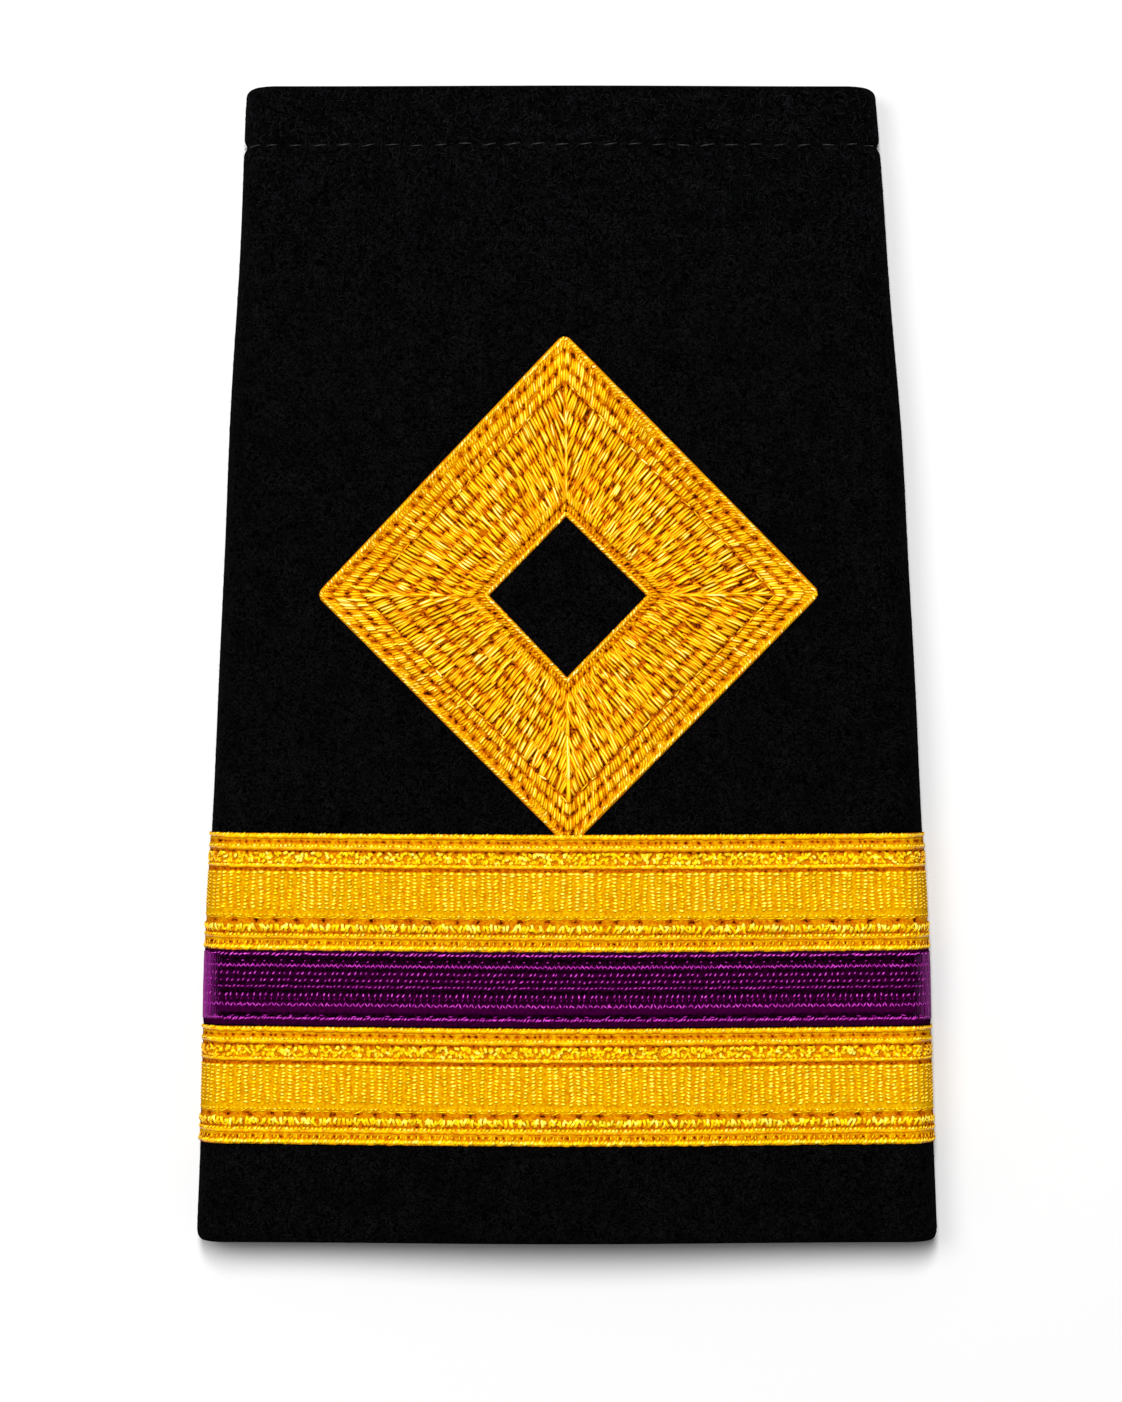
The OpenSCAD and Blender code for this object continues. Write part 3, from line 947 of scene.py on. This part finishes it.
# Rows of needle holes: inset, usual spacing and size
sewn_rows = (
    (0.84, 1.0, 0.25), (1.9, 0.75, 0.19), (2.9, 0.75, 0.19), (4.3, 0.75, 0.22),
    (5.6, 0.75, 0.22), (6.9, 0.75, 0.22), (8.2, 0.7, 0.22), (9.0, 1.4, 0.2), (9.92, 0.62, 0.18),
)
padding_columns = 520


def needle_holes():
    """Turn, inset and size of the holes that the needle left, in rows along the sides."""
    rng = np.random.default_rng(450)
    places = []
    for inset, spacing, size in sewn_rows:
        turns = side_turns(inset, spacing, rng, 0.25 * spacing)
        turns = turns[rng.random(turns.shape) < 0.85]
        # Each hole lies on a column of the padding's mesh, so that it keeps its full depth
        turns = np.round(turns * padding_columns / 4) * 4 / padding_columns
        insets = inset + rng.normal(0, 0.06, turns.shape)
        places.append([turns, insets, np.full(turns.shape, size)])
    return np.concatenate(places, axis=1)


sewn_holes = needle_holes()


def hole_pull(turn, inset):
    """How far a place is drawn down into a needle hole and painted dark there, from 0 to 1."""
    turn, inset = np.broadcast_arrays(turn, inset)
    aside = (turn[..., None] - sewn_holes[0]) * side_length(inset)[..., None]
    inwards = inset[..., None] - sewn_holes[1]
    away = (aside**2 + inwards**2) / sewn_holes[2] ** 2
    return np.minimum(1.25 * np.exp(-away.min(axis=-1)), 1)


def sew_threads(turn, inset, height, radius, sides, seed, dim=1.0, holes=True):
    """Threads that are laid out by turn and inset, and drawn down into the needle holes.

    In the holes they are painted dark as well, as painted shade.
    """
    v, across = diamond_spot(turn, inset)
    pull = hole_pull(turn, inset) if holes else np.zeros(v.shape)
    # Painted shade: threads are painted darker where they go down into a hole
    threads = lay_threads(
        v, across, height - 0.4 * pull, radius * (1 - 0.5 * pull), sides, seed,
        dim * (1 - pull)
    )
    threads["points"][:, 2] += np.repeat(into_lace(v).ravel(), sides)
    return threads


# How much more squarely to the side a stitch goes than the corners' fan, from 0 to 1
fan_square = 0.5
# Share of the threads left out at a corner's line, and how far that reaches, in turns
corner_gap_share = 0.25
corner_gap_width = 0.09


def long_stitches(start, end, pitch, radius, rise, ragged, loose, seed, dim=1.0):
    """Stitches across the band, fanned at the corners and lying in bundles of up to three.

    They run from the inset at start to the one at end, each of these more or less ragged, and
    rise from the first height to the second in their middle, all in millimetres.
    """
    rng = np.random.default_rng(seed)
    turns = side_turns((start + end) / 2, pitch, rng, 0.04)
    # Close to a corner's line the fan opens, and dark gaps show between its threads
    beside = np.abs(turns - np.round(turns))
    gaps = corner_gap_share * np.exp(-((beside / corner_gap_width) ** 2))
    turns = turns[rng.random(turns.shape) > gaps][:, None]
    size = turns.shape
    starting = (rng.random(size) < 0.3) | (np.arange(len(turns))[:, None] % 3 == 0)
    bundle = np.cumsum(starting, axis=0)
    count = bundle.max() + 1
    members = np.maximum(np.bincount(bundle.ravel(), minlength=count), 1)
    middles = np.bincount(bundle.ravel(), turns.ravel(), count) / members
    starts = start + ragged[0] * (
        0.75 * rng.uniform(-1, 1, count)[bundle] + 0.4 * rng.uniform(-1, 1, size)
    )
    ends = end + ragged[1] * (
        0.75 * rng.uniform(-1, 1, count)[bundle] + 0.4 * rng.uniform(-1, 1, size)
    )
    share = np.array([[0, 0.1, 0.24, 0.4, 0.58, 0.75, 0.9, 1]])
    insets = starts + (ends - starts) * share
    draw = (middles[bundle] - turns) * rng.uniform(0.15, 0.65, count)[bundle]
    swing = rng.normal(0, loose, size) * np.sin(math.pi * share)
    skew = rng.normal(0, 1.6 * loose, count)[bundle] + rng.normal(0, loose, size)
    square = fan_square * (side_length(start) / side_length(insets) - 1)
    middle = np.floor(turns) + 0.5
    turn = turns + (turns - middle) * square + draw * (1 - share)
    turn = turn + (swing + skew * (share - 0.5)) / side_length(insets)
    turn = np.clip(turn, np.floor(turns) + 0.003, np.floor(turns) + 0.997)
    # A stitch comes up steeply out of its hole and goes down as steeply at its end
    arch = 1 - (2 * share - 1) ** 4
    height = rise[0] + (rise[1] - rise[0]) * arch
    height = height + rng.normal(0, 0.05, count)[bundle] + rng.normal(0, 0.03, size)
    shine = dim * rng.uniform(0.82, 1.06, count)[bundle] * rng.uniform(0.86, 1.14, size)
    thick = radius * (1 - 0.4 * (2 * share - 1) ** 4)
    return sew_threads(turn, insets, height, thick, 5, seed, shine)


def side_stitches(inset, pitch, length, angle, radius, top, seed, loose, dim):
    """Small stitches along the diamond's sides, slanted to them by an angle in degrees."""
    rng = np.random.default_rng(seed)
    turns = side_turns(inset, pitch, rng, loose)
    size = turns.shape
    heading = np.radians(angle + rng.normal(0, 5, size))
    part = np.array([[-1, -0.55, 0.55, 1]])
    over = part * length / 2 * rng.uniform(0.82, 1.15, size)
    turn = turns + over * np.cos(heading) / side_length(inset)
    turn = np.clip(turn, np.floor(turns), np.floor(turns) + 0.9999)
    insets = inset + over * np.sin(heading) + rng.normal(0, 0.03, size)
    rise = np.array([[0.55, 1, 1, 0.55]]) * (top - radius) + rng.normal(0, 0.02, size)
    thick = np.array([[0.65, 1, 1, 0.65]]) * radius
    shine = dim * rng.uniform(0.65, 1.1, size)
    return sew_threads(turn, insets, rise, thick, 5, seed, shine)


def side_cord(inset, radius, top, seed, dim):
    """The soft core of a cord, laid once round the diamond."""
    rng = np.random.default_rng(seed)
    turns = np.linspace(0, 3.9999, 321)[None, :]
    beat = rng.normal(0, 0.01, turns.shape)
    return sew_threads(turns, inset + beat, top - radius + beat, radius, 6, seed, dim, False)


# The padding and the borders: inset from the outer edge, height and painted shade, darkest
# under the satin, where it shows as dark seams between the threads
padding_profile = (
    (0.28, 0.1, 0.3), (0.5, 0.26, 0.7), (0.66, 0.28, 0.76), (0.78, 0.26, 0.74), (0.86, 0.22, 0.7),
    (0.94, 0.22, 0.66), (1.04, 0.22, 0.64), (1.4, 0.28, 0.62), (1.8, 0.3, 0.52),
    (1.92, 0.3, 0.4), (2.3, 0.36, 0.45), (2.6, 0.4, 0.5), (2.78, 0.4, 0.5), (2.92, 0.38, 0.4),
    (3.3, 0.46, 0.2), (4.5, 0.52, 0.18), (6.0, 0.52, 0.18), (7.5, 0.5, 0.18), (8.7, 0.4, 0.2),
    (9.4, 0.3, 0.32), (9.58, 0.28, 0.45), (9.7, 0.28, 0.58), (9.8, 0.28, 0.62),
    (9.9, 0.26, 0.66), (10.1, 0.2, 0.6), (10.4, 0.1, 0.2)
)


def build_padding():
    """The padding and the flat borders, with the needle holes in them painted dark."""
    rng = np.random.default_rng(440)
    profile = np.array(padding_profile)
    columns = padding_columns
    turn = (np.arange(columns) / columns * 4)[None, :]
    height = np.repeat(profile[:, 1:2], columns, axis=1)
    shade = profile[:, 2:] + 0.08 * (np.arange(columns) % 2) * (profile[:, 2:] > 0.5)
    shade = shade + rng.normal(0, 0.05, height.shape)
    v, across = diamond_spot(turn, profile[:, :1])
    pull = hole_pull(turn, profile[:, :1])
    height = height - 0.15 * pull
    # Painted shade: the padding is painted dark in the needle holes
    shade = shade * (1 - pull)
    face, outwards = tube_face(v, across)
    points = face + outwards * (height + into_lace(v))[..., None]
    faces = grid_faces(len(profile), columns, False, True)
    return points.reshape(-1, 3), faces, np.clip(shade, 0, 1).ravel()


# The dark red stops are painted shade and the pale top stop a painted highlight
gold_stitch = rayon(
    "gold_rayon_embroidery",
    [(0.03, "#8b2700"), (0.22, "#d66a00"), (0.5, "#f3aa00"), (0.78, "#fcd01c"),
     (0.95, "#fff6a0")],
    "#ffd840",
)
points, faces, shade = build_padding()
padding = add_piece("diamond_padding", points, faces, gold_ground, "gold_embroidery", shade)
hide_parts("diamond_field")
# Start, end, pitch, radius, height at the ends and in the middle, raggedness of starts and of
# ends, looseness, seed and light. Two sparse layers, painted darker as painted shade, lie under
# five close ones.
add_threads(
    "diamond_satin",
    [
        long_stitches(3.0, 6.6, 0.4, 0.15, (0.3, 0.56), (0.2, 0.3), 0.08, 404, 0.6),
        long_stitches(6.2, 9.6, 0.4, 0.15, (0.3, 0.54), (0.3, 0.2), 0.08, 405, 0.6),
        long_stitches(2.86, 4.62, 0.3, 0.135, (0.36, 0.76), (0.1, 0.16), 0.04, 400),
        long_stitches(4.2, 5.96, 0.3, 0.135, (0.36, 0.8), (0.16, 0.16), 0.04, 401),
        long_stitches(5.5, 7.26, 0.3, 0.135, (0.36, 0.8), (0.16, 0.16), 0.04, 402),
        long_stitches(6.8, 8.56, 0.3, 0.13, (0.34, 0.76), (0.16, 0.14), 0.04, 403),
        long_stitches(8.1, 9.5, 0.29, 0.125, (0.28, 0.68), (0.14, 0.1), 0.04, 406),
    ],
    gold_stitch,
    "gold_embroidery",
)
# A cord's core has an inset, radius, top, seed and light, and a row of side stitches an inset,
# pitch, length, slant, radius, top, seed, looseness and light
add_threads(
    "diamond_borders",
    [
        side_stitches(0.72, 0.3, 0.4, 66, 0.1, 0.4, 414, 0.04, 0.95),
        side_stitches(1.38, 0.26, 0.86, 84, 0.12, 0.52, 411, 0.04, 1.0),
        side_stitches(1.95, 1.3, 0.7, 78, 0.12, 0.58, 415, 0.3, 1.0),
        side_stitches(2.42, 0.28, 0.84, 87, 0.13, 0.62, 412, 0.05, 1.0),
        side_stitches(2.88, 1.22, 1.0, 0, 0.09, 0.76, 413, 0.05, 1.1),
        side_stitches(9.46, 0.27, 0.84, 88, 0.13, 0.62, 416, 0.03, 0.9),
    ],
    gold_stitch,
    "gold_embroidery",
)
outer_cord = add_threads(
    "diamond_outer_whipping",
    [
        side_cord(0.3, 0.3, 0.47, 421, 0.85),
        side_stitches(0.28, 0.34, 0.26, 34, 0.13, 0.61, 420, 0.02, 1.12),
        side_stitches(0.52, 0.33, 0.34, 62, 0.09, 0.45, 422, 0.03, 0.9),
    ],
    gold_stitch,
    "gold_embroidery",
)
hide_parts("diamond_outer_cord")
inner_cord = add_threads(
    "diamond_inner_whipping",
    [
        side_cord(band_width - 0.3, 0.28, 0.46, 431, 0.85),
        side_stitches(band_width - 0.26, 0.34, 0.26, 34, 0.13, 0.59, 430, 0.02, 1.12),
        side_stitches(band_width - 0.66, 0.33, 0.4, 80, 0.1, 0.42, 432, 0.04, 0.8),
    ],
    gold_stitch,
    "gold_embroidery",
)
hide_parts("diamond_inner_cord")

# The table, the lights and the camera.
# A plain white table in a pale room, with a soft strip lamp overhead, beyond the collar
# mouth, and a weaker round one to the left. The camera looks straight down.

table_half = 2
image_height = 1402
pixels_per_mm = 11.6
front_height = 8.0
# The camera stands a little off the slide's middle, as in the photo
camera_x = -0.52
camera_y = -3.19
lens = 135.0
sensor = 36.0


def white_laminate():
    """White laminate: plain and matt."""
    material = new_material("white_laminate")
    shader = add_node(
        material, "BsdfPrincipled",
        {"Base Color": dye("#d6d6d6"), "Roughness": 0.9, "Specular IOR Level": 0.1},
    )
    add_node(material, "OutputMaterial", None, {"Surface": shader.outputs["BSDF"]})
    return material


floor_mesh = bpy.data.meshes.new("table")
floor_mesh.from_pydata(
    [(x * table_half, y * table_half, 0) for x, y in ((-1, -1), (1, -1), (1, 1), (-1, 1))],
    [], [(0, 1, 2, 3)]
)
floor_mesh.materials.append(white_laminate())
floor = bpy.data.objects.new("table", floor_mesh)
bpy.context.scene.collection.objects.link(floor)


def add_lamp(name, place, width, length, power):
    """A soft lamp that shines at the slide from a place in metres."""
    data = bpy.data.lights.new(name, "AREA")
    data.shape = "ELLIPSE"
    data.size = width
    data.size_y = length
    data.energy = power
    lamp = bpy.data.objects.new(name, data)
    lamp.location = place
    lamp.rotation_mode = "QUATERNION"
    lamp.rotation_quaternion = lamp.location.to_track_quat("Z", "Y")
    bpy.context.scene.collection.objects.link(lamp)


add_lamp("strip_lamp", (-0.02, 0.24, 0.85), 0.12, 0.4, 8.4)
add_lamp("left_lamp", (-0.26, 0.12, 0.7), 0.3, 0.3, 2.2)

world = bpy.data.worlds.new("pale_room")
world.use_nodes = True
world.node_tree.nodes["Background"].inputs["Color"].default_value = (1, 1, 1, 1)
world.node_tree.nodes["Background"].inputs["Strength"].default_value = 0.2
bpy.context.scene.world = world
bpy.context.scene.view_settings.view_transform = "Standard"

camera_data = bpy.data.cameras.new("camera")
camera_data.lens = lens
camera_data.sensor_width = sensor
camera_data.clip_start = 0.01
camera = bpy.data.objects.new("camera", camera_data)
distance = image_height / pixels_per_mm * lens / sensor
camera.location = (camera_x * MM, camera_y * MM, (distance + front_height) * MM)
bpy.context.scene.collection.objects.link(camera)
bpy.context.scene.camera = camera
